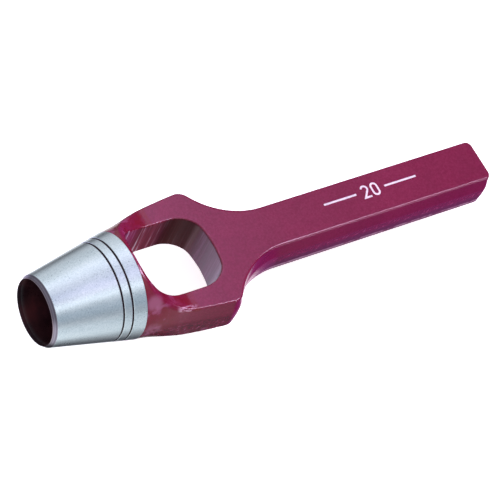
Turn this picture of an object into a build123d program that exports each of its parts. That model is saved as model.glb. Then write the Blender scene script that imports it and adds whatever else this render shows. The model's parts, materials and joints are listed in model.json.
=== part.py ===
from build123d import *
import os
from math import sin, cos, tan, asin, atan2, sqrt, degrees, radians, pi

# Drive hole punch (arch punch), 20 mm hole size.
# A painted drop forging (collar, yoke with an open window, shoulders, flat bar
# handle) carries a turned, bare steel tube cutter at its front end.
#
# Tool frame: origin at the centre of the circular cutting edge, x along the
# tool's axis towards the struck end, z out of the handle's upper flat.
# Row frame: the tool lies at rest on Z = 0. The rear rim of the cutting head
# and the lower edge of the struck end touch the surface, so the tool's axis
# slopes down by a few degrees from the head to the handle's end.

# ---------------------------------------------------------------- dimensions
# cutting head (turned)
edge_r = 10.0            # cutting edge radius: a 20 mm hole
bevel_x = 1.24           # ground bevel: length along the axis
bevel_r = 10.83          # and the radius where it meets the cone
head_len = 27.5          # cutting edge to the paint line
rim_r = 16.26            # radius of the head's rear rim
land_len = 6.0           # cylindrical cutting land behind the edge
relief_r = 10.9          # bore radius where the relief opens into the window
groove_x = (20.54, 23.27)   # centres of the two turned grooves
groove_w = 0.46          # groove width
groove_d = 0.38          # groove depth below the cone
lacquer_sink = 0.06      # the lacquer stands this far below the cone

# forging
length = 158.4           # cutting edge to the struck end
half_t = 7.1             # half the bar's thickness
window_y = 11.8          # half width of the window
window_x0 = 28.45        # window's front wall on the axis
window_x1 = 58.0         # window's rear wall on the axis
window_bow0 = 22.0       # radius of the bowed front wall
window_bow1 = 31.0       # radius of the bowed rear wall
window_r = 6.0           # window corner radius
handle_w = 6.95          # half the handle's width, at its flats
draft_deg = 7.0          # forging draft of the outer sides, both ways from z = 0
shoulder_arc = 24.5      # concave radius from the shoulders to the handle
shoulder_r = 2.6         # convex radius of the shoulder corners
blend_x = 42.2           # where the flats start to rise towards the collar
blend_r = 14.5           # radius of that rise
collar_r = 16.22         # collar radius at the paint line
end_r = 2.0              # plan radius of the struck end's corners
edge_round = 0.9         # rounding of the forging's outer edges
window_round = 0.7       # rounding of the window's rims

# print on the handle's upper flat
mark_t = 0.06            # thickness of the printed ink
mark_h = 4.6             # height of the digits
mark_x = 116.0           # centre of the print along the handle
mark_y = 1.15            # and across it

# ------------------------------------------------------------- resting pose
# Lowest points: the head's rear rim (head_len, -rim_r) and the rounded lower
# edge of the struck end (length, -half_t). The tilt puts both on Z = 0.
bulge = half_t * tan(radians(draft_deg))    # growth from the flats to mid-thickness
end_c = length - edge_round * (1 - sin(radians(draft_deg))) / cos(radians(draft_deg))
a_run = end_c - head_len
b_rise = rim_r - half_t + edge_round
tilt = atan2(b_rise, a_run) - asin(edge_round / sqrt(a_run**2 + b_rise**2))
rest_h = head_len * sin(tilt) + rim_r * cos(tilt)       # axis height at the edge
x_low = -edge_r * sin(tilt)                              # front of the box
x_high = (length + bulge) * cos(tilt)                    # rear of the box
origin = Vector(-(x_low + x_high) / 2, 0, rest_h)
ux = Vector(cos(tilt), 0, -sin(tilt))                    # tool x in the row frame
uz = Vector(sin(tilt), 0, cos(tilt))                     # tool z in the row frame

plan = Plane(origin=origin, x_dir=ux, z_dir=uz)                    # tool XY
side = Plane(origin=origin, x_dir=ux, z_dir=Vector(0, -1, 0))      # tool XZ
axis = Axis(origin, ux)


def cone_r(x):
    """Radius of the head's cone at x."""
    return bevel_r + (rim_r - bevel_r) * (x - bevel_x) / (head_len - bevel_x)

def tool_xyz(p):
    """Row-frame point to tool-frame coordinates."""
    d = Vector(*p) - origin
    return d.dot(ux), d.Y, d.dot(uz)


def along(e):
    """Three points along an edge, in the tool frame."""
    return [tool_xyz(e @ u) for u in (0.02, 0.5, 0.98)]


# ------------------------------------------------------------ yoke_and_handle
# Plan outline at mid-thickness: the arms widen a little from the collar to the
# shoulders, then a large concave arc leads to the bar handle. The outer sides
# draw in by the forging draft towards the upper and lower flats.
arc_cx = 78.2                                  # centre of the concave arc
arc_cy = handle_w + shoulder_arc
arc_r = shoulder_arc - bulge


def arm_y(x):
    """Half width over the arms at mid-thickness."""
    d = x - 39.0
    return 17.1 + 0.161 * d - 0.00236 * d * d + bulge


sh_x = 57.0                                    # shoulder corner before rounding
for _ in range(20):
    sh_x = arc_cx - sqrt(arc_r**2 - (arc_cy - arm_y(sh_x))**2)
sh_y = arm_y(sh_x)
mid_a = atan2(sh_y - arc_cy, sh_x - arc_cx)    # start angle of the arc
if mid_a > 0:
    mid_a -= 2 * pi
mid_t = (mid_a + (-pi / 2)) / 2
arc_mid = (arc_cx + arc_r * cos(mid_t), arc_cy + arc_r * sin(mid_t))

with BuildPart() as yoke_and_handle:
    # the lower half of the blank, tall enough to hold the collar, and its mirror
    with BuildSketch(plan) as outline:
        with BuildLine():
            Line((head_len - 4, 0), (head_len - 4, 16.6 + bulge))
            Line((head_len - 4, 16.6 + bulge), (34.0, 16.75 + bulge))
            ThreePointArc((34.0, 16.75 + bulge), (46.0, arm_y(46.0)), (sh_x, sh_y))
            ThreePointArc((sh_x, sh_y), arc_mid, (arc_cx, handle_w + bulge))
            Line((arc_cx, handle_w + bulge), (length + bulge, handle_w + bulge))
            Line((length + bulge, handle_w + bulge), (length + bulge, 0))
            Line((length + bulge, 0), (head_len - 4, 0))
        make_face()
        mirror(about=Plane.XZ)
        shoulders = [v for v in outline.vertices() if abs(v.X - sh_x) < 0.01]
        fillet(shoulders, radius=shoulder_r + bulge)
        end_corners = [v for v in outline.vertices() if abs(v.X - length - bulge) < 0.01]
        fillet(end_corners, radius=end_r + bulge)
    extrude(amount=-17.5, taper=draft_deg)
    mirror(about=plan)

    # the side profile: flats along the bar and the arms, and a concave rise to
    # the collar above and below
    with BuildSketch(side.offset(-30)) as profile:
        with BuildLine():
            rise = blend_x - sqrt(blend_r**2 - (blend_r - 11.0)**2)
            quarter = blend_x - blend_r * sin(pi / 6)
            Line((length + 5, 0), (length + 5, half_t))
            Line((length + 5, half_t), (blend_x, half_t))
            ThreePointArc((blend_x, half_t),
                          (quarter, half_t + blend_r * (1 - cos(pi / 6))),
                          (rise, half_t + 11.0))
            Line((rise, half_t + 11.0), (head_len - 5, half_t + 11.0))
            Line((head_len - 5, half_t + 11.0), (head_len - 5, 0))
            Line((head_len - 5, 0), (length + 5, 0))
        make_face()
        mirror(about=Plane.XZ)
    extrude(amount=60, mode=Mode.INTERSECT)

    # the collar: a trumpet that flares from the paint line into the arms
    with BuildSketch(plan) as trumpet:
        with BuildLine():
            Line((head_len, 0), (head_len, collar_r))
            ThreePointArc((head_len, collar_r), (31.7, 16.8), (36.7, 18.15))
            Line((36.7, 18.15), (41.0, 20.0))
            Line((41.0, 20.0), (60.0, 29.6))
            Line((60.0, 29.6), (length + 10, 29.6))
            Line((length + 10, 29.6), (length + 10, 0))
            Line((length + 10, 0), (head_len, 0))
        make_face()
    revolve(axis=axis, mode=Mode.INTERSECT)

    # round the ridges beside the collar and the forging's outer edges
    rims = [e for e in yoke_and_handle.edges()
            if all(p[0] > head_len + 0.05 and abs(p[2]) > half_t - 0.05 for p in along(e))
            and not all(abs(p[0] - blend_x) < 0.01 for p in along(e))]
    fillet([e for e in rims if along(e)[1][2] > 0], radius=edge_round)
    fillet([e for e in rims if along(e)[1][2] < 0], radius=edge_round)

    # the window through the yoke
    with BuildSketch(plan.offset(-20)) as window:
        with BuildLine():
            f_x = window_x0 + window_bow0 - sqrt(window_bow0**2 - window_y**2)
            r_x = window_x1 - window_bow1 + sqrt(window_bow1**2 - window_y**2)
            ThreePointArc((f_x, -window_y), (window_x0, 0), (f_x, window_y))
            Line((f_x, window_y), (r_x, window_y))
            ThreePointArc((r_x, window_y), (window_x1, 0), (r_x, -window_y))
            Line((r_x, -window_y), (f_x, -window_y))
        make_face()
        fillet(window.vertices(), radius=window_r)
    extrude(amount=40, mode=Mode.SUBTRACT)
    window_rims = [e for e in yoke_and_handle.edges()
                   if all(abs(p[1]) < window_y + 0.05 and abs(p[2]) > half_t - 0.05
                          and window_x0 - 0.02 < p[0] < window_x1 + 0.02 for p in along(e))]
    fillet([e for e in window_rims if along(e)[1][2] > 0], radius=window_round)
    fillet([e for e in window_rims if along(e)[1][2] < 0], radius=window_round)

    # the punch's bore comes out through the collar into the window
    with BuildSketch(plan) as collar_bore:
        with BuildLine():
            Polyline((head_len - 1, 0), (head_len - 1, relief_r), (window_x0 + 6, relief_r),
                     (window_x0 + 6, 0), close=True)
        make_face()
    revolve(axis=axis, mode=Mode.SUBTRACT)

yoke_and_handle.part.label = "yoke_and_handle"

# -------------------------------------------------------------- cutting_head
# Ground bevel from the cutting edge, long cone, two turned grooves, plain rear
# face against the collar. Inside: a cylindrical land, then a relief that
# widens towards the window so that the slugs fall out.
with BuildPart() as cutting_head:
    with BuildSketch(side) as head_profile:
        with BuildLine():
            Polyline((0, edge_r), (bevel_x, bevel_r), (head_len, rim_r),
                     (head_len, relief_r), (land_len, edge_r), close=True)
        make_face()
    revolve(axis=axis)
    with BuildSketch(side) as grooves:
        for gx in groove_x:
            g0, g1 = gx - groove_w / 2, gx + groove_w / 2
            with BuildLine():
                Polyline((g0, cone_r(g0) - groove_d), (g1, cone_r(g1) - groove_d),
                         (g1, cone_r(g1) + 1), (g0, cone_r(g0) + 1), close=True)
            make_face()
    revolve(axis=axis, mode=Mode.SUBTRACT)

cutting_head.part.label = "cutting_head"


def lacquer_points(gx):
    """Section of the lacquer ring that fills the groove at gx."""
    g0, g1 = gx - groove_w / 2, gx + groove_w / 2
    return [(g0, cone_r(g0) - groove_d), (g1, cone_r(g1) - groove_d),
            (g1, cone_r(g1) - lacquer_sink), (g0, cone_r(g0) - lacquer_sink)]


# ------------------------------------------------------ groove_lacquer_front
with BuildPart() as groove_lacquer_front:
    with BuildSketch(side):
        with BuildLine():
            Polyline(*lacquer_points(groove_x[0]), close=True)
        make_face()
    revolve(axis=axis)

groove_lacquer_front.part.label = "groove_lacquer_front"

# ------------------------------------------------------- groove_lacquer_rear
with BuildPart() as groove_lacquer_rear:
    with BuildSketch(side):
        with BuildLine():
            Polyline(*lacquer_points(groove_x[1]), close=True)
        make_face()
    revolve(axis=axis)

groove_lacquer_rear.part.label = "groove_lacquer_rear"

# ----------------------------------------------------------------- size_mark
# The hole size in millimetres between two plain bars, printed in white ink on
# the handle's upper flat; it reads from the handle's lower side in plan.
d_w = 2.7                   # width of a digit
d_gap = 0.9                 # gap between the digits
d_s = 0.62                  # stroke width
bar_len = 12.0
bar_gap = 2.2
y0 = mark_y - mark_h / 2    # the digits' base line
two_x = mark_x - d_gap / 2 - d_w
zero_x = mark_x + d_gap / 2

with BuildPart() as size_mark:
    with BuildSketch(plan.offset(half_t)) as ink:
        # the digit 2
        with BuildLine() as two:
            r2 = (d_w - d_s) / 2
            c2 = (two_x + d_w / 2, y0 + mark_h - d_s / 2 - r2)
            a0, a1 = radians(165), radians(-38)
            am = (a0 + a1) / 2
            p0 = (c2[0] + r2 * cos(a0), c2[1] + r2 * sin(a0))
            p1 = (c2[0] + r2 * cos(a1), c2[1] + r2 * sin(a1))
            ThreePointArc(p0, (c2[0] + r2 * cos(am), c2[1] + r2 * sin(am)), p1)
            Line(p1, (two_x + d_s / 2, y0 + d_s / 2))
            Line((two_x + d_s / 2, y0 + d_s / 2), (two_x + d_w, y0 + d_s / 2))
        trace(line_width=d_s)
        # the digit 0
        with Locations((zero_x + d_w / 2, y0 + mark_h / 2)):
            SlotOverall(mark_h, d_w, rotation=90)
            SlotOverall(mark_h - 2 * d_s, d_w - 2 * d_s, rotation=90, mode=Mode.SUBTRACT)
        # a bar on each side
        bar_c = d_w + d_gap / 2 + bar_gap + bar_len / 2
        with Locations((mark_x - bar_c, mark_y), (mark_x + bar_c, mark_y)):
            Rectangle(bar_len, d_s)
    extrude(amount=mark_t)

size_mark.part.label = "size_mark"

# -------------------------------------------------------------------- export
os.makedirs("parts", exist_ok=True)
export_step(yoke_and_handle.part, "parts/yoke_and_handle.step")
export_step(cutting_head.part, "parts/cutting_head.step")
export_step(groove_lacquer_front.part, "parts/groove_lacquer_front.step")
export_step(groove_lacquer_rear.part, "parts/groove_lacquer_rear.step")
export_step(size_mark.part, "parts/size_mark.step")

print("tilt", round(degrees(tilt), 4), "deg; tool origin", [round(c, 4) for c in origin])
for name, p in (("yoke_and_handle", yoke_and_handle), ("cutting_head", cutting_head),
                ("size_mark", size_mark)):
    bb = p.part.bounding_box()
    print(name, p.part.is_valid, round(p.part.volume, 1), [round(c, 3) for c in bb.min],
          [round(c, 3) for c in bb.max])
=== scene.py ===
import json
import math

import bmesh
import bpy
import numpy as np
from mathutils import Matrix, Vector


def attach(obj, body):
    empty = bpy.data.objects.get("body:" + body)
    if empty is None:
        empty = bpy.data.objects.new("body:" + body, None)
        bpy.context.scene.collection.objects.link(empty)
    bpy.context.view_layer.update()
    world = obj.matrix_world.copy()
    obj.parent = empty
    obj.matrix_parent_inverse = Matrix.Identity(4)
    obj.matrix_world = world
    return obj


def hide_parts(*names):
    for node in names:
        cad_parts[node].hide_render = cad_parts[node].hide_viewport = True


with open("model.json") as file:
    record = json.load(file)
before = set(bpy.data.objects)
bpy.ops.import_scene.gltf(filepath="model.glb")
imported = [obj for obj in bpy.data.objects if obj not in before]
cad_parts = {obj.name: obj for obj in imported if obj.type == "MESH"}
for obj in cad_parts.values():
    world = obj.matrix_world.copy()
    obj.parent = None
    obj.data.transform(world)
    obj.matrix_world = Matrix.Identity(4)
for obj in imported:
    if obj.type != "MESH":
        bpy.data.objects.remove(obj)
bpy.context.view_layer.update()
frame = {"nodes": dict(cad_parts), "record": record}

# ------------------------------------------------------------------ the frame
# Tool frame: origin at the centre of the cutting edge, x along the tool's axis
# to the struck end, z out of the handle's upper flat. It comes from the record's
# bore mount, which lies 3 mm behind the edge and points out of the mouth.
bore = next(m for m in frame["record"]["mounts"] if m["name"] == "cutting_bore")
UX = -Vector(bore["axis"]).normalized()
UZ = Vector((-UX.z, 0.0, UX.x))
ORIGIN = Vector(bore["pos_m"]) - UX * 0.003
TOOL = Matrix(((UX.x, 0.0, UZ.x, ORIGIN.x),
               (UX.y, 1.0, UZ.y, ORIGIN.y),
               (UX.z, 0.0, UZ.z, ORIGIN.z),
               (0.0, 0.0, 0.0, 1.0)))
MM = 0.001

# the CAD part's dimensions, in mm
EDGE_R, BEVEL_X, BEVEL_R, HEAD_LEN, RIM_R = 10.0, 1.24, 10.83, 27.5, 16.26
LAND_LEN, RELIEF_R = 6.0, 10.9
GROOVE_X, GROOVE_W, GROOVE_D, SINK = (20.54, 23.27), 0.56, 0.38, 0.06
LENGTH, HALF_T = 158.2, 7.1
LEAN = 1.35


def cone_r(x):
    return BEVEL_R + (RIM_R - BEVEL_R) * (x - BEVEL_X) / (HEAD_LEN - BEVEL_X)


# ---------------------------------------------------------- forging's surface
# Signed distance of the forging in tool millimetres: plan outline with draft
# from the parting line both ways, side profile, trumpet collar, window and bore,
# with soft forged edges.
PART_Z, DRAFT_UP, DRAFT_DOWN = 1.3, math.radians(7.0), math.radians(3.0)
SHOULDER_ARC, ARC_X = 24.5, 78.9


def rint(r, *ds):
    """Rounded intersection."""
    m = ds[0]
    for d in ds[1:]:
        m = np.maximum(m, d)
    q = sum(np.maximum(d + r, 0.0) ** 2 for d in ds)
    return np.minimum(m + r, 0.0) + np.sqrt(q) - r


def smax(a, b, k):
    h = np.maximum(k - np.abs(a - b), 0.0) / k
    return np.maximum(a, b) + h * h * k * 0.25


def smoothstep(e0, e1, x):
    t = np.clip((x - e0) / (e1 - e0), 0.0, 1.0)
    return t * t * (3 - 2 * t)


def forging(p):
    x, y, zs = p[..., 0], np.abs(p[..., 1]), p[..., 2]
    z = np.abs(zs)
    r = np.hypot(y, z)
    # arms' side walls, at the flats
    d = x - 39.0
    dn = np.minimum(d, 0.0)
    dp = np.clip(d, 0.0, 24.0)
    g = 17.4 + 0.161 * dp - 0.00236 * dp * dp - 0.354 * (1 - np.exp(dn / 2.2))
    slope = np.where(d > 0, 0.161 - 0.00472 * dp, 0.161 * np.exp(dn / 2.2))
    arm = (y - g) / np.sqrt(1 + slope * slope)
    # concave arc into the handle; it and the struck end lean out downwards
    lean = LEAN * smoothstep(HALF_T, -4.0, zs)
    w = 6.92 + 0.16 * (x - ARC_X) / (LENGTH - ARC_X)
    cy = 6.92 + SHOULDER_ARC
    xb = x - lean
    back = np.where(xb < ARC_X, SHOULDER_ARC - np.hypot(xb - ARC_X, y - cy), y - w)
    plan = rint(2.2, arm, back)
    plan = rint(2.0, plan, xb - LENGTH)
    # drawn in above and below the parting line, which is a soft ridge
    full = (HALF_T - PART_Z) * math.tan(DRAFT_UP)
    t_up, t_dn = math.tan(DRAFT_UP), math.tan(DRAFT_DOWN)
    d_z = zs - PART_Z
    ridge = 0.5 * (t_up + t_dn) * np.sqrt(d_z * d_z + 0.45 ** 2) + 0.5 * (t_up - t_dn) * d_z
    plan = (plan - full + ridge) * math.cos(DRAFT_UP)
    # side profile
    s = np.where(x >= 42.2, z - HALF_T,
                 14.5 - np.hypot(x - 42.2, z - (HALF_T + 14.5)))
    # trumpet collar
    t = 36.2213 - np.hypot(x - 24.6535, r - 52.3293)
    t = np.where(x < 24.6535, r - 16.108, t)
    outer = smax(t, plan, 1.2)
    r_e = 0.48 + 0.82 * (1 - smoothstep(35.0, 41.5, x))
    a = rint(r_e, outer, s)
    # window
    win = rint(6.0, y - 11.8, np.hypot(x - 50.45, y) - 22.0, np.hypot(x - 27.0, y) - 31.0)
    v = rint(0.45, a, -win)
    # bore
    return rint(0.4, v, np.minimum(RELIEF_R - r, 36.0 - x))


def gradient(p, e=0.02):
    g = np.empty_like(p)
    for i in range(3):
        q = p.copy()
        q[:, i] += e
        f1 = forging(q)
        q[:, i] -= 2 * e
        g[:, i] = (f1 - forging(q)) / (2 * e)
    return g


def forging_mesh(h=0.4):
    """Surface nets over the distance field, symmetric in y."""
    nx, ny, nz = int(134.8 / h) + 1, int(21.6 / h) + 1, int(18.0 / h) + 1
    xs = 26.0 + h * np.arange(nx)
    ys, zs = h * np.arange(ny), h * np.arange(-nz + 1, nz)
    grid = np.stack(np.meshgrid(xs, ys, zs, indexing="ij"), -1)
    q = forging(grid)
    q = np.concatenate([q[:, :0:-1], q], 1)
    base = np.array([26.0, -h * (ny - 1), -h * (nz - 1)])
    inside = q < 0
    shape = q.shape
    cell = np.zeros((shape[0] - 1, shape[1] - 1, shape[2] - 1), np.int8)
    corners = [(i, j, k) for i in (0, 1) for j in (0, 1) for k in (0, 1)]
    for i, j, k in corners:
        cell += inside[i:shape[0] - 1 + i, j:shape[1] - 1 + j, k:shape[2] - 1 + k]
    mixed = (cell > 0) & (cell < 8)
    idx = np.argwhere(mixed)
    number = np.full(cell.shape, -1, np.int64)
    number[tuple(idx.T)] = np.arange(len(idx))
    # vertex: mean of the edge crossings of its cell
    total = np.zeros((len(idx), 3))
    count = np.zeros(len(idx))
    for a in corners:
        for axis in range(3):
            if a[axis] == 1:
                continue
            b = list(a)
            b[axis] = 1
            fa = q[tuple((idx + a).T)]
            fb = q[tuple((idx + b).T)]
            cross = (fa < 0) != (fb < 0)
            t = np.where(cross, fa / np.where(cross, fa - fb, 1.0), 0.0)
            pt = np.array(a, float) + np.outer(t, np.array(b, float) - a)
            total += pt * cross[:, None]
            count += cross
    p = base + h * (idx + total / count[:, None])
    quads = []
    for axis in range(3):
        u, v = (axis + 1) % 3, (axis + 2) % 3
        lo = [slice(None)] * 3
        hi = [slice(None)] * 3
        lo[axis], hi[axis] = slice(0, -1), slice(1, None)
        cross = inside[tuple(lo)] != inside[tuple(hi)]
        e = np.argwhere(cross)
        ok = np.ones(len(e), bool)
        for w in (u, v):
            ok &= (e[:, w] > 0) & (e[:, w] < shape[w] - 1)
        e = e[ok]
        flip = inside[tuple(e.T)]
        ring = []
        for du, dv in ((0, 0), (-1, 0), (-1, -1), (0, -1)):
            c = e.copy()
            c[:, u] += du
            c[:, v] += dv
            ring.append(number[tuple(c.T)])
        ring = np.stack(ring, 1)
        ring[~flip] = ring[~flip][:, ::-1]
        quads.append(ring)
    quads = np.concatenate(quads)
    for _ in range(4):
        g = gradient(p)
        p -= g * (forging(p) / np.maximum((g * g).sum(1), 1e-6))[:, None]
    ea = np.concatenate([quads[:, [0, 1]], quads[:, [1, 2]], quads[:, [2, 3]], quads[:, [3, 0]]])
    for _ in range(6):
        mean = np.zeros_like(p)
        deg = np.zeros(len(p))
        for a, b in ((0, 1), (1, 0)):
            for i in range(3):
                mean[:, i] += np.bincount(ea[:, a], p[ea[:, b], i], len(p))
            deg += np.bincount(ea[:, a], minlength=len(p))
        g = gradient(p)
        n = g / np.linalg.norm(g, axis=1)[:, None]
        step = mean / np.maximum(deg, 1)[:, None] - p
        step -= n * (step * n).sum(1)[:, None]
        edge_end = (p[:, 0] < 26.0 + 1.5 * h)
        step[edge_end, 0] = 0
        p += 0.5 * step
        g = gradient(p)
        p -= g * (forging(p) / np.maximum((g * g).sum(1), 1e-6))[:, None]
    g = gradient(p)
    p -= g * (forging(p) / np.maximum((g * g).sum(1), 1e-6))[:, None]
    return p, quads


def new_object(name, verts_mm, faces, matrix=TOOL):
    me = bpy.data.meshes.new(name)
    me.from_pydata([tuple(v) for v in np.asarray(verts_mm, float) * MM], [], [tuple(int(i) for i in f) for f in faces])
    me.update()
    ob = bpy.data.objects.new(name, me)
    bpy.context.scene.collection.objects.link(ob)
    ob.matrix_world = matrix
    return ob


def build_yoke():
    p, quads = forging_mesh()
    ob = new_object("yoke_body", p, quads)
    me = ob.data
    bm = bmesh.new()
    bm.from_mesh(me)
    cut = bmesh.ops.bisect_plane(bm, geom=bm.verts[:] + bm.edges[:] + bm.faces[:],
                                 plane_co=(HEAD_LEN * MM, 0, 0), plane_no=(1, 0, 0),
                                 dist=1e-6, clear_inner=True)
    rim = [e for e in bm.edges if e.is_boundary]
    made = bmesh.ops.bridge_loops(bm, edges=rim)
    bmesh.ops.triangulate(bm, faces=[f for f in bm.faces if len(f.verts) > 4])
    bmesh.ops.recalc_face_normals(bm, faces=bm.faces[:])
    bm.to_mesh(me)
    bm.free()
    # normals from the distance field; the collar's flat end keeps its own
    co = np.empty(len(me.vertices) * 3)
    me.vertices.foreach_get("co", co)
    co = co.reshape(-1, 3) / MM
    g = gradient(co)
    g /= np.linalg.norm(g, axis=1)[:, None]
    lv = np.empty(len(me.loops), np.int64)
    me.loops.foreach_get("vertex_index", lv)
    normals = g[lv]
    for poly in me.polygons:
        if poly.normal.x < -0.95 and abs(poly.center.x / MM - HEAD_LEN) < 0.02:
            for li in poly.loop_indices:
                normals[li] = (-1.0, 0.0, 0.0)
    me.polygons.foreach_set("use_smooth", [True] * len(me.polygons))
    me.normals_split_custom_set([tuple(n) for n in normals])
    # 1 on the broached window walls, 0 on the as-forged skin
    ay = np.abs(co[:, 1])
    win = rint(6.0, ay - 11.8, np.hypot(co[:, 0] - 50.45, ay) - 22.0, np.hypot(co[:, 0] - 27.0, ay) - 31.0)
    wall = (1 - smoothstep(0.05, 0.3, win)) * (1 - smoothstep(0.35, 0.8, np.abs(g[:, 2])))
    att = me.attributes.new("window_wall", "FLOAT", "POINT")
    att.data.foreach_set("value", wall.astype(np.float32))
    print("yoke mesh", len(me.vertices), "vertices")
    return ob


def lathe(name, profile, n=256, sharp=28.0, mats=None):
    """Closed (x, r) profile turned about the tool's x axis."""
    prof = np.array(profile, float)
    m = len(prof)
    ang = np.linspace(0, 2 * math.pi, n, endpoint=False)
    v = np.empty((m, n, 3))
    v[:, :, 0] = prof[:, :1]
    v[:, :, 1] = prof[:, 1:2] * np.cos(ang)
    v[:, :, 2] = prof[:, 1:2] * np.sin(ang)
    faces = []
    for i in range(m):
        j = (i + 1) % m
        for k in range(n):
            l = (k + 1) % n
            faces.append((i * n + k, i * n + l, j * n + l, j * n + k))
    ob = new_object(name, v.reshape(-1, 3), faces)
    me = ob.data
    bm = bmesh.new()
    bm.from_mesh(me)
    bmesh.ops.recalc_face_normals(bm, faces=bm.faces[:])
    bm.to_mesh(me)
    bm.free()
    me.polygons.foreach_set("use_smooth", [True] * len(me.polygons))
    me.set_sharp_from_angle(angle=math.radians(sharp))
    return ob


def arc_corner(a, b, c, r, n=5):
    """Points of a rounded corner at b between a and c."""
    a, b, c = (np.array(v, float) for v in (a, b, c))
    u, v = (a - b) / np.linalg.norm(a - b), (c - b) / np.linalg.norm(c - b)
    half = math.acos(max(-1, min(1, float(u @ v)))) / 2
    t = r / math.tan(half)
    centre = b + (u + v) / np.linalg.norm(u + v) * (r / math.sin(half))
    p0, p1 = b + u * t, b + v * t
    a0 = math.atan2(*(p0 - centre)[::-1])
    a1 = math.atan2(*(p1 - centre)[::-1])
    d = (a1 - a0 + math.pi) % (2 * math.pi) - math.pi
    return [tuple(centre + r * np.array([math.cos(a0 + d * i / n), math.sin(a0 + d * i / n)]))
            for i in range(n + 1)]


def build_head():
    pts = [(0.0, EDGE_R), (0.0, EDGE_R + 0.02)]
    pts += arc_corner((0, EDGE_R), (BEVEL_X, BEVEL_R), (HEAD_LEN, RIM_R), 0.35, 6)
    for s in (4.0, 8.0, 12.0, 16.0):
        pts.append((s, cone_r(s)))
    for gx in GROOVE_X:
        g0, g1 = gx - GROOVE_W / 2, gx + GROOVE_W / 2
        pts += [(g0 - 0.05, cone_r(g0 - 0.05)), (g0, cone_r(g0) - 0.05),
                (g0, cone_r(g0) - GROOVE_D), (g1, cone_r(g1) - GROOVE_D),
                (g1, cone_r(g1) - 0.05), (g1 + 0.05, cone_r(g1 + 0.05))]
    pts += [(HEAD_LEN - 0.12, cone_r(HEAD_LEN - 0.12)), (HEAD_LEN, RIM_R - 0.1)]
    pts += [(HEAD_LEN, RELIEF_R), (18.0, EDGE_R + 0.9 * 12.0 / 21.5), (LAND_LEN, EDGE_R),
            (3.0, EDGE_R), (0.02, EDGE_R - 0.0)]
    # the last point coincides with the edge; keep the profile simple
    pts = pts[:-1]
    return lathe("head_body", pts)


def build_lacquer(name, gx):
    g0, g1 = gx - GROOVE_W / 2, gx + GROOVE_W / 2
    mid = gx
    pts = [(g0, cone_r(g0) - GROOVE_D), (g0, cone_r(g0) - SINK), (mid, cone_r(mid) - SINK - 0.05),
           (g1, cone_r(g1) - SINK), (g1, cone_r(g1) - GROOVE_D)]
    return lathe(name, pts)


yoke = build_yoke()
head = build_head()
lacquer_front = build_lacquer("lacquer_front", GROOVE_X[0])
lacquer_rear = build_lacquer("lacquer_rear", GROOVE_X[1])
mark = frame["nodes"]["size_mark"]

for ob, node in ((yoke, "yoke_and_handle"), (head, "cutting_head"),
                 (lacquer_front, "groove_lacquer_front"), (lacquer_rear, "groove_lacquer_rear")):
    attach(ob, "root")
    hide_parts(node)


# ------------------------------------------------------------------ materials
class Nodes:
    """Short helpers for one node tree."""

    def __init__(self, tree):
        self.t = tree

    def new(self, kind, **inputs):
        n = self.t.nodes.new(kind)
        for k, v in inputs.items():
            setattr(n, k, v)
        return n

    def link(self, a, b):
        self.t.links.new(a, b)

    def feed(self, socket, value):
        if hasattr(value, "is_linked") or isinstance(value, bpy.types.NodeSocket):
            self.t.links.new(value, socket)
        else:
            socket.default_value = value

    def math(self, op, a, b=None, c=None, clamp=False):
        n = self.new("ShaderNodeMath", operation=op, use_clamp=clamp)
        for i, v in enumerate((a, b, c)):
            if v is not None:
                self.feed(n.inputs[i], v)
        return n.outputs[0]

    def vmath(self, op, a, b=None, scale=None):
        n = self.new("ShaderNodeVectorMath", operation=op)
        self.feed(n.inputs[0], a)
        if b is not None:
            self.feed(n.inputs[1], b)
        if scale is not None:
            self.feed(n.inputs["Scale"], scale)
        return n.outputs["Value"] if op in ("DOT_PRODUCT", "LENGTH", "DISTANCE") else n.outputs["Vector"]

    def mix(self, fac, a, b):
        n = self.new("ShaderNodeMix", data_type="RGBA")
        self.feed(n.inputs["Factor"], fac)
        self.feed(n.inputs[6], a)
        self.feed(n.inputs[7], b)
        return n.outputs[2]

    def noise(self, vec, scale, detail=3.0, rough=0.5, distortion=0.0):
        n = self.new("ShaderNodeTexNoise")
        self.feed(n.inputs["Vector"], vec)
        n.inputs["Scale"].default_value = scale
        n.inputs["Detail"].default_value = detail
        n.inputs["Roughness"].default_value = rough
        n.inputs["Distortion"].default_value = distortion
        return n.outputs["Fac"]

    def voronoi(self, vec, scale, feature="F1", out="Distance"):
        n = self.new("ShaderNodeTexVoronoi", feature=feature)
        self.feed(n.inputs["Vector"], vec)
        n.inputs["Scale"].default_value = scale
        return n.outputs[out]

    def ramp(self, fac, stops, interp="LINEAR"):
        n = self.new("ShaderNodeValToRGB")
        self.feed(n.inputs[0], fac)
        n.color_ramp.interpolation = interp
        els = n.color_ramp.elements
        while len(els) > 1:
            els.remove(els[-1])
        for i, (pos, col) in enumerate(stops):
            e = els[0] if i == 0 else els.new(pos)
            e.position = pos
            e.color = tuple(col) + (1.0,) if len(col) == 3 else col
        return n.outputs[0]

    def smooth(self, x, lo, hi, a=0.0, b=1.0):
        n = self.new("ShaderNodeMapRange", interpolation_type="SMOOTHSTEP")
        self.feed(n.inputs[0], x)
        for i, v in enumerate((lo, hi, a, b)):
            n.inputs[1 + i].default_value = v
        return n.outputs[0]


def material(name):
    m = bpy.data.materials.new(name)
    m.use_nodes = True
    t = m.node_tree
    t.nodes.clear()
    N = Nodes(t)
    out = N.new("ShaderNodeOutputMaterial")
    bsdf = N.new("ShaderNodeBsdfPrincipled")
    N.link(bsdf.outputs[0], out.inputs[0])
    return m, N, bsdf


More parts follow.
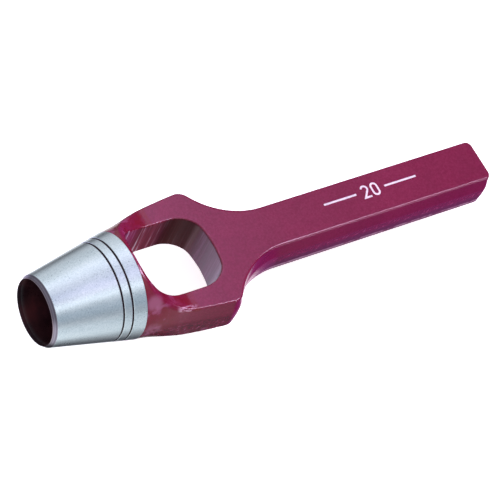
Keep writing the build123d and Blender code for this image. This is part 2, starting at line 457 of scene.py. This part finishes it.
def object_xyz(N):
    tc = N.new("ShaderNodeTexCoord")
    sep = N.new("ShaderNodeSeparateXYZ")
    N.link(tc.outputs["Object"], sep.inputs[0])
    return tc.outputs["Object"], sep.outputs[0], sep.outputs[1], sep.outputs[2]


def combine(N, x, y, z):
    c = N.new("ShaderNodeCombineXYZ")
    for i, v in enumerate((x, y, z)):
        N.feed(c.inputs[i], v)
    return c.outputs[0]


def paint_material():
    """Dark raspberry enamel over a shot-blasted drop forging; thin over the broached window walls."""
    m, N, b = material("painted_forging")
    pos, x, y, z = object_xyz(N)
    wall_n = N.new("ShaderNodeAttribute", attribute_name="window_wall")
    wall = wall_n.outputs["Fac"]
    cloud = N.noise(pos, 70.0, 3.0, 0.5)
    fine = N.noise(pos, 1500.0, 3.0, 0.65)
    base = N.ramp(cloud, [(0.3, (0.163, 0.0070, 0.0355)), (0.5, (0.176, 0.0077, 0.0385)), (0.72, (0.192, 0.0095, 0.0435))])
    # fine pepper of darker and lighter pigment
    grain = N.ramp(fine, [(0.32, (0.70, 0.60, 0.66)), (0.5, (1.0, 1.0, 1.0)), (0.68, (1.24, 1.7, 1.4))])
    mul = N.new("ShaderNodeMix", data_type="RGBA", blend_type="MULTIPLY")
    mul.inputs["Factor"].default_value = 0.55
    N.link(base, mul.inputs[6])
    N.link(grain, mul.inputs[7])
    skin = mul.outputs[2]
    ay = N.math("ABSOLUTE", y)
    glint_noise = N.noise(combine(N, N.math("MULTIPLY", x, 500.0), N.math("MULTIPLY", y, 1400.0), N.math("MULTIPLY", z, 1400.0)), 1.0, 3.0, 0.6)
    patch = N.noise(pos, 210.0, 3.0, 0.6, 0.6)
    painted_light_noise = N.noise(combine(N, N.math("MULTIPLY", x, 330.0), N.math("MULTIPLY", y, 330.0), N.math("MULTIPLY", z, 120.0)), 1.0, 3.0, 0.6)
    # painted shade: deeper, saturated red patches on the upper ramps to the collar
    ramp_shade = N.math("MULTIPLY", N.smooth(x, 0.0345, 0.0385), N.smooth(x, 0.0430, 0.0441, 1.0, 0.0))
    ramp_shade = N.math("MULTIPLY", ramp_shade, N.smooth(z, 0.0055, 0.0068))
    ramp_shade = N.math("MULTIPLY", ramp_shade, N.smooth(painted_light_noise, 0.38, 0.55, 0.35, 1.0))
    skin = N.mix(ramp_shade, skin, (0.170, 0.0026, 0.0130, 1.0))
    # the collar behind the paint line: painted shade in dark red, with painted pale lavender reflections
    collar = N.smooth(x, 0.0330, 0.0400, 1.0, 0.0)
    skin = N.mix(N.math("MULTIPLY", collar, N.smooth(painted_light_noise, 0.45, 0.62, 0.75, 0.1)), skin, (0.165, 0.0030, 0.0170, 1.0))
    skin = N.mix(N.math("MULTIPLY", collar, N.smooth(patch, 0.53, 0.66, 0.0, 0.55)), skin, (0.34, 0.095, 0.20, 1.0))
    # two painted pale highlights on the near side of the collar, and a painted glint on the arm's edge

    def spot(c, r_out):
        return N.smooth(N.vmath("DISTANCE", pos, tuple(v * MM for v in c)), 0.35 * r_out, r_out, 1.0, 0.0)

    collar_highlights = N.math("MAXIMUM", spot((29.8, -13.3, 9.7), 0.0034), spot((29.9, -16.4, -0.4), 0.0042))
    collar_highlights = N.math("MULTIPLY", collar_highlights, N.smooth(painted_light_noise, 0.36, 0.52, 0.25, 0.62))
    skin = N.mix(collar_highlights, skin, (0.36, 0.135, 0.225, 1.0))
    along = N.math("MULTIPLY", N.smooth(x, 0.0362, 0.0378), N.smooth(x, 0.0405, 0.0440, 1.0, 0.0))
    on_edge = N.math("MULTIPLY", N.smooth(z, 0.00640, 0.00675), N.smooth(y, -0.0158, -0.0163))
    glint = N.math("MULTIPLY", N.math("MULTIPLY", along, on_edge), N.smooth(glint_noise, 0.44, 0.56, 0.0, 0.6))
    skin = N.mix(glint, skin, (0.70, 0.42, 0.56, 1.0))
    # lower half of the bar: rough and mottled; painted shade greys it towards the bottom edge, and a painted pale
    # reflection band runs just above that edge
    under = N.smooth(z, 0.0010, -0.0010)
    side_x = N.smooth(x, 0.056, 0.064)
    bite = N.noise(pos, 640.0, 4.0, 0.7)
    skin = N.mix(N.math("MULTIPLY", under, N.smooth(bite, 0.40, 0.52, 0.55, 0.0)), skin, (0.070, 0.0100, 0.0270, 1.0))
    skin = N.mix(N.math("MULTIPLY", under, N.smooth(bite, 0.55, 0.66, 0.0, 0.50)), skin, (0.34, 0.12, 0.24, 1.0))
    lower_shade = N.math("MULTIPLY", N.math("MULTIPLY", N.smooth(z, -0.0015, -0.0035), N.smooth(z, -0.00705, -0.0066)), side_x)
    skin = N.mix(N.math("MULTIPLY", lower_shade, 0.72), skin, (0.052, 0.024, 0.040, 1.0))
    lower_reflection_band = N.math("MULTIPLY", N.smooth(z, -0.0046, -0.0052), N.smooth(z, -0.0060, -0.0066, 1.0, 0.0))
    skin = N.mix(N.math("MULTIPLY", N.math("MULTIPLY", lower_reflection_band, side_x), N.smooth(patch, 0.35, 0.6, 0.15, 0.8)), skin, (0.36, 0.26, 0.32, 1.0))
    # broaching marks run through the window, parallel to z
    streak_vec = combine(N, N.math("MULTIPLY", x, 1500.0), N.math("MULTIPLY", y, 1500.0), N.math("MULTIPLY", z, 45.0))
    streak = N.noise(streak_vec, 1.0, 4.0, 0.6)
    coarse_vec = combine(N, N.math("MULTIPLY", x, 420.0), N.math("MULTIPLY", y, 420.0), N.math("MULTIPLY", z, 18.0))
    coarse = N.noise(coarse_vec, 1.0, 2.0, 0.5)
    marks = N.math("ADD", N.math("MULTIPLY", streak, 0.55), N.math("MULTIPLY", coarse, 0.45))
    wall_col = N.ramp(marks, [(0.36, (0.095, 0.006, 0.020)), (0.5, (0.130, 0.014, 0.040)), (0.62, (0.20, 0.09, 0.14))])
    # the far and near walls keep more paint, with scores that carry painted near-white highlights; painted shade
    # darkens the rear corners
    flank = N.smooth(ay, 0.0098, 0.0112)
    flank_col = N.ramp(marks, [(0.36, (0.110, 0.002, 0.006)), (0.49, (0.250, 0.012, 0.028)),
                               (0.55, (0.34, 0.09, 0.13)), (0.62, (0.90, 0.80, 0.86))])
    wall_col = N.mix(N.math("MULTIPLY", flank, 0.85), wall_col, flank_col)
    rear_corner_shade = N.math("MULTIPLY", N.smooth(x, 0.0440, 0.0500), N.math("MULTIPLY", N.smooth(y, 0.0062, 0.0085), 0.9))
    wall_col = N.mix(rear_corner_shade, wall_col, (0.048, 0.005, 0.008, 1.0))
    col = N.mix(wall, skin, wall_col)
    N.link(col, b.inputs["Base Color"])
    b.inputs["IOR"].default_value = 1.5
    rough_skin = N.math("MULTIPLY_ADD", fine, 0.10, 0.17)
    rough = N.math("ADD", rough_skin, N.math("MULTIPLY", wall, N.math("MULTIPLY_ADD", marks, 0.20, 0.02)))
    N.link(rough, b.inputs["Roughness"])
    metal = N.math("MULTIPLY", N.smooth(marks, 0.45, 0.62, 0.05, 0.5), N.math("SUBTRACT", 1.0, N.math("MAXIMUM", rear_corner_shade, flank)))
    N.link(N.math("MULTIPLY", wall, metal), b.inputs["Metallic"])
    N.link(N.math("MULTIPLY_ADD", N.math("MULTIPLY", wall, rear_corner_shade), -0.50, 0.5), b.inputs["Specular IOR Level"])
    # orange peel everywhere, a coarser blasted skin below the parting line
    peel = N.noise(pos, 520.0, 2.0, 0.5)
    blast = N.noise(pos, 1100.0, 3.0, 0.6)
    low = N.smooth(z, -0.0012, 0.0004, 1.0, 0.0)
    low_skin = N.math("MULTIPLY", low, N.math("SUBTRACT", 1.0, wall))
    height = N.math("ADD", N.math("MULTIPLY", peel, 0.35),
                    N.math("MULTIPLY", blast, N.math("MULTIPLY_ADD", low_skin, 0.75, 0.12)))
    height = N.math("ADD", height, N.math("MULTIPLY", wall, N.math("MULTIPLY", marks, 1.3)))
    bump = N.new("ShaderNodeBump")
    bump.inputs["Strength"].default_value = 0.5
    bump.inputs["Distance"].default_value = 0.00008
    N.link(height, bump.inputs["Height"])
    N.link(bump.outputs[0], b.inputs["Normal"])
    return m


def steel_material():
    m, N, b = material("turned_steel")
    pos, x, y, z = object_xyz(N)
    r = N.math("SQRT", N.math("ADD", N.math("MULTIPLY", y, y), N.math("MULTIPLY", z, z)))
    ang = N.math("ARCTAN2", z, y)
    ring_vec = combine(N, N.math("MULTIPLY", x, 2600.0), N.math("MULTIPLY", y, 22.0), N.math("MULTIPLY", z, 22.0))
    rings = N.noise(ring_vec, 1.0, 3.0, 0.6)
    # satin grain: fine grit, and faint lengthwise clouds
    grit = N.noise(pos, 2300.0, 3.0, 0.7)
    cloud = N.noise(combine(N, N.math("MULTIPLY", x, 45.0), N.math("MULTIPLY", y, 260.0), N.math("MULTIPLY", z, 260.0)), 1.0, 3.0, 0.55)
    tone = N.math("ADD", N.math("MULTIPLY", grit, 0.65), N.math("MULTIPLY", cloud, 0.35))
    cone_col = N.ramp(tone, [(0.36, (0.55, 0.655, 0.71)), (0.5, (0.665, 0.78, 0.84)), (0.64, (0.80, 0.90, 0.95))])
    bevel = N.smooth(x, 0.00118, 0.00128, 1.0, 0.0)
    bore_in = N.smooth(N.math("SUBTRACT", r, N.math("MULTIPLY_ADD", x, 0.055, 0.00995)), -0.0001, 0.0003, 1.0, 0.0)
    edge = N.smooth(x, 0.00010, 0.00020, 1.0, 0.0)
    bevel_col = N.ramp(rings, [(0.3, (0.085, 0.080, 0.105)), (0.7, (0.215, 0.195, 0.245))])
    c1 = N.mix(bevel, cone_col, bevel_col)
    c2 = N.mix(N.math("MULTIPLY", edge, 0.7), c1, (0.50, 0.44, 0.50, 1.0))
    # bore: dark red-brown film, darkened towards black as painted shade inside the bore
    bore_tone_noise = N.noise(pos, 140.0, 3.0, 0.5)
    bore_film_and_shade = N.ramp(bore_tone_noise, [(0.34, (0.034, 0.013, 0.018)), (0.52, (0.070, 0.026, 0.031)), (0.68, (0.130, 0.036, 0.042))])
    c3 = N.mix(bore_in, c2, bore_film_and_shade)
    N.link(c3, b.inputs["Base Color"])
    N.link(N.math("MULTIPLY_ADD", bore_in, -0.6, 1.0), b.inputs["Metallic"])
    N.link(N.math("MULTIPLY_ADD", tone, 0.14, 0.22), b.inputs["Roughness"])
    bump = N.new("ShaderNodeBump")
    bump.inputs["Strength"].default_value = 0.35
    bump.inputs["Distance"].default_value = 0.000025
    N.link(N.math("ADD", grit, N.math("MULTIPLY", rings, 0.5)), bump.inputs["Height"])
    N.link(bump.outputs[0], b.inputs["Normal"])
    return m


def lacquer_material():
    m, N, b = material("black_lacquer")
    pos, x, y, z = object_xyz(N)
    n = N.noise(pos, 700.0, 3.0, 0.6)
    N.link(N.ramp(n, [(0.3, (0.006, 0.003, 0.007)), (0.75, (0.018, 0.010, 0.018))]), b.inputs["Base Color"])
    b.inputs["Specular IOR Level"].default_value = 0.2
    N.link(N.math("MULTIPLY_ADD", n, 0.25, 0.3), b.inputs["Roughness"])
    return m


def ink_material():
    m, N, b = material("white_ink")
    pos, x, y, z = object_xyz(N)
    n = N.noise(pos, 1500.0, 4.0, 0.6)
    N.link(N.ramp(n, [(0.25, (0.62, 0.55, 0.62)), (0.6, (0.86, 0.84, 0.87))]), b.inputs["Base Color"])
    N.link(N.math("MULTIPLY_ADD", n, 0.2, 0.35), b.inputs["Roughness"])
    return m


def dress(ob, mat):
    ob.data.materials.clear()
    ob.data.materials.append(mat)


lacquer_mat = lacquer_material()
dress(yoke, paint_material())
dress(head, steel_material())
dress(lacquer_front, lacquer_mat)
dress(lacquer_rear, lacquer_mat)
dress(mark, ink_material())

# ---------------------------------------------------------------------- stage
bpy.ops.mesh.primitive_plane_add(size=8.0, location=(0, 0, -0.0002))
floor = bpy.context.object
floor.name = "floor"
fm, FN, fb = material("floor")
tc = FN.new("ShaderNodeTexCoord")
fn = FN.noise(tc.outputs["Object"], 3.0, 2.0)
FN.link(FN.ramp(fn, [(0.3, (0.90, 0.90, 0.905)), (0.7, (0.93, 0.93, 0.935))]), fb.inputs["Base Color"])
fb.inputs["Roughness"].default_value = 0.9
fb.inputs["Emission Color"].default_value = (1.0, 1.0, 1.0, 1.0)
fb.inputs["Emission Strength"].default_value = 0.80
floor.data.materials.append(fm)
floor.visible_glossy = False
floor.visible_diffuse = False

# world: a bluish-white dome with soft boxes, dark below the horizon
world = bpy.data.worlds.new("studio")
bpy.context.scene.world = world
world.use_nodes = True
wt = world.node_tree
wt.nodes.clear()
W = Nodes(wt)
wout = W.new("ShaderNodeOutputWorld")
bg = W.new("ShaderNodeBackground")
W.link(bg.outputs[0], wout.inputs[0])
wtc = W.new("ShaderNodeTexCoord")
direction = W.vmath("NORMALIZE", wtc.outputs["Generated"])


def tool_dir(v):
    d = UX * v[0] + Vector((0, 1, 0)) * v[1] + UZ * v[2]
    return tuple(d.normalized())


def lobe(v, outer_deg, inner_deg):
    """1 inside inner_deg of a tool-frame direction, 0 beyond outer_deg."""
    c = W.vmath("DOT_PRODUCT", direction, tool_dir(v))
    return W.smooth(c, math.cos(math.radians(outer_deg)), math.cos(math.radians(inner_deg)))


def panel(v, along, half_a, half_b, soft):
    """Soft-edged rectangle of light round a tool-frame direction; along is its long side."""
    c = Vector(tool_dir(v))
    a = Vector(tool_dir(along))
    a = (a - c * a.dot(c)).normalized()
    bb = c.cross(a)
    front = W.smooth(W.vmath("DOT_PRODUCT", direction, tuple(c)), 0.1, 0.3)
    f = front
    for axis_v, half in ((a, half_a), (bb, half_b)):
        d = W.math("ABSOLUTE", W.vmath("DOT_PRODUCT", direction, tuple(axis_v)))
        s0, s1 = math.sin(math.radians(half + soft)), math.sin(math.radians(max(half - soft, 0)))
        f = W.math("MULTIPLY", f, W.smooth(d, s1, s0, 1.0, 0.0))
    return f


sepw = W.new("ShaderNodeSeparateXYZ")
W.link(direction, sepw.inputs[0])
up = sepw.outputs[2]
tx = W.vmath("DOT_PRODUCT", direction, tuple(UX))
ty = sepw.outputs[1]
tz = W.vmath("DOT_PRODUCT", direction, tuple(UZ))
sky = W.ramp(W.math("MULTIPLY_ADD", up, 0.5, 0.5),
             [(0.0, (0.03, 0.03, 0.04)), (0.30, (0.05, 0.05, 0.06)), (0.46, (0.36, 0.37, 0.39)),
              (0.56, (0.50, 0.51, 0.54)), (0.8, (0.60, 0.61, 0.64)), (1.0, (0.72, 0.73, 0.77))])
# dimmer in front at the horizon, and behind the handle's end
front_dim = W.math("MULTIPLY", W.smooth(ty, -0.98, -0.60, 1.0, 0.0), 0.22)
rear_dim = W.smooth(tx, 0.36, 0.53, 0.0, 0.80)
keep = W.math("MULTIPLY", W.math("SUBTRACT", 1.0, front_dim), W.math("SUBTRACT", 1.0, rear_dim))
col = W.vmath("SCALE", sky, scale=keep)
# the lavender panel that the flats mirror: its rear edge falls just behind the yoke
lav = W.math("MULTIPLY", W.smooth(tx, 0.462, 0.496, 1.0, 0.0), W.smooth(tx, 0.26, 0.36))
lav = W.math("MULTIPLY", lav, W.math("MULTIPLY", W.smooth(ty, 0.10, 0.30), W.smooth(tz, 0.60, 0.72)))
for mask, c, s in (
        # above: broad soft box behind the tool, narrow one in front of it
        (panel((0.0, 0.64, 0.77), (1, 0, 0), 20, 17, 14), (1.0, 1.0, 1.0), 0.48),
        (lobe((0.10, 0.97, 0.10), 34, 10), (1.0, 1.0, 1.0), 0.22),
        (panel((-0.05, -0.57, 0.82), (1, 0, 0), 18, 7, 5), (1.0, 1.0, 1.0), 0.80),
        (lav, (1.0, 0.72, 1.35), 2.25),
        (W.smooth(tx, 0.44, 0.54), (0.9, 0.06, 0.6), 0.48),
        # two lamps mirrored by the rounded upper edges
        (panel((0.52, -0.15, 0.84), (1, 0, 0), 8, 7, 3), (1.0, 0.76, 1.12), 27.0),
        # cooler, dimmer gaps that streak the polished cone
        (lobe((0.05, -0.10, 0.99), 14, 4), (1.0, 0.78, 0.50), -0.20),
        (lobe((0.06, -0.90, 0.43), 17, 6), (-1.0, 0.5, 1.5), 0.04),
        (panel((0.56, -0.78, -0.28), (1, 0, 0), 8, 5, 3), (1.0, 0.84, 1.08), 12.0),
        # below: pale table in front of the tool and behind the line of sight
        (lobe((-0.12, -0.88, -0.46), 40, 14), (0.95, 1.0, 1.03), 0.60),
        (lobe((-0.60, -0.62, -0.50), 50, 30), (1.0, 1.0, 1.0), 1.3),
        (lobe((0.18, -0.58, -0.79), 26, 10), (1.0, 1.0, 1.0), 0.22),
        (lobe((0.50, 0.46, -0.74), 27, 14), (1.0, 1.0, 1.0), 1.3),
        (lobe((0.54, -0.14, -0.83), 12, 2), (0.8, 0.7, 1.0), 0.10),
        (lobe((-0.30, 0.62, -0.72), 34, 22), (0.90, 0.85, 1.15), 1.6),
):
    scaled = W.vmath("SCALE", c, scale=s)
    add = W.vmath("SCALE", scaled, scale=mask)
    col = W.vmath("ADD", col, add)
W.link(col, bg.inputs["Color"])
bg.inputs["Strength"].default_value = 1.0

# --------------------------------------------------------------------- camera
cam_data = bpy.data.cameras.new("camera")
cam = bpy.data.objects.new("camera", cam_data)
bpy.context.scene.collection.objects.link(cam)
right = (0.8242108, -0.475702, 0.30722)
down = (-0.2679885, -0.805583, -0.528411)
forward = (0.4988574, 0.3531907, -0.7914529)
place = (-291.0761, -259.5615, 576.7038)
rot = Matrix(((right[0], -down[0], -forward[0]),
              (right[1], -down[1], -forward[1]),
              (right[2], -down[2], -forward[2]))).to_4x4()
cam.matrix_world = TOOL @ Matrix.Translation(Vector(place) * MM) @ rot
cam_data.sensor_width = 36.0
cam_data.lens = 2457.969 / 500.0 * 36.0
cam_data.clip_start, cam_data.clip_end = 0.01, 20.0
bpy.context.scene.camera = cam

bpy.context.scene.view_settings.view_transform = "Standard"
